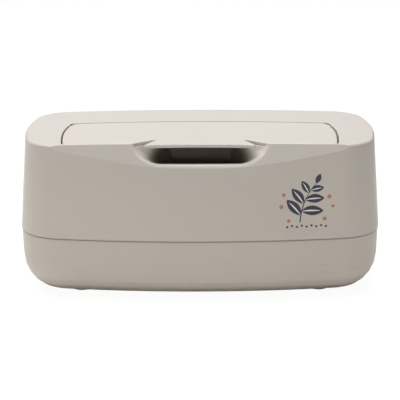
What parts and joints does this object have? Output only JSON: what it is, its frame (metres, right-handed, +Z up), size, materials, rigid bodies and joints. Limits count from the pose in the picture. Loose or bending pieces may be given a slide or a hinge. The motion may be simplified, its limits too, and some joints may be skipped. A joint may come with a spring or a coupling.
{
  "type": "baby wipes box",
  "caption": "Wide rounded wipes box with a flush hinged lid over a finger scoop, a lift-off cover, a tub on rubber feet and a weighted press plate inside.",
  "frame": {"origin": "centre of the footprint, on the surface that the feet stand on", "axes": "+Z up, +X along the long side to the right seen from the front, -Y towards the finger scoop"},
  "size_m": [0.25, 0.13, 0.107],
  "materials": {
    "cover_plastic": "satin moulded plastic, warm greige",
    "lid_plastic": "satin moulded plastic, warm greige",
    "tub_plastic": "satin moulded plastic, warm greige",
    "liner_plastic": "satin moulded plastic, off-white",
    "plate_plastic": "satin moulded plastic, off-white",
    "seal_rubber": "matte silicone, pale grey",
    "foot_rubber": "matte rubber, dark grey",
    "pin_steel": "drawn steel",
    "weight_steel": "sheared steel plate"
  },
  "bodies": {
    "base": {"base_tub": "tub_plastic", "base_seal": "seal_rubber", "foot_front_left": "foot_rubber", "foot_front_right": "foot_rubber", "foot_rear_left": "foot_rubber", "foot_rear_right": "foot_rubber"},
    "cover": {"cover_shell": "cover_plastic"},
    "lid": {"lid_panel": "lid_plastic", "lid_liner": "liner_plastic", "lid_seal": "seal_rubber", "hinge_pin_left": "pin_steel", "hinge_pin_right": "pin_steel"},
    "press_plate": {"press_plate_frame": "plate_plastic", "press_plate_cover": "plate_plastic", "plate_weight_left": "weight_steel", "plate_weight_right": "weight_steel"}
  },
  "joints": [
    {"name": "cover_lift", "type": "slide", "parent": "base", "child": "cover", "axis": [0, 0, 1], "range_m": [0, 0.08]},
    {"name": "lid_hinge", "type": "hinge", "parent": "cover", "child": "lid", "pos_m": [0, 0.008, 0.1052], "axis": [-1, 0, 0], "range_deg": [0, 100]},
    {"name": "press_plate_lift", "type": "slide", "parent": "base", "child": "press_plate", "axis": [0, 0, 1], "range_m": [0, 0.062]}
  ]
}
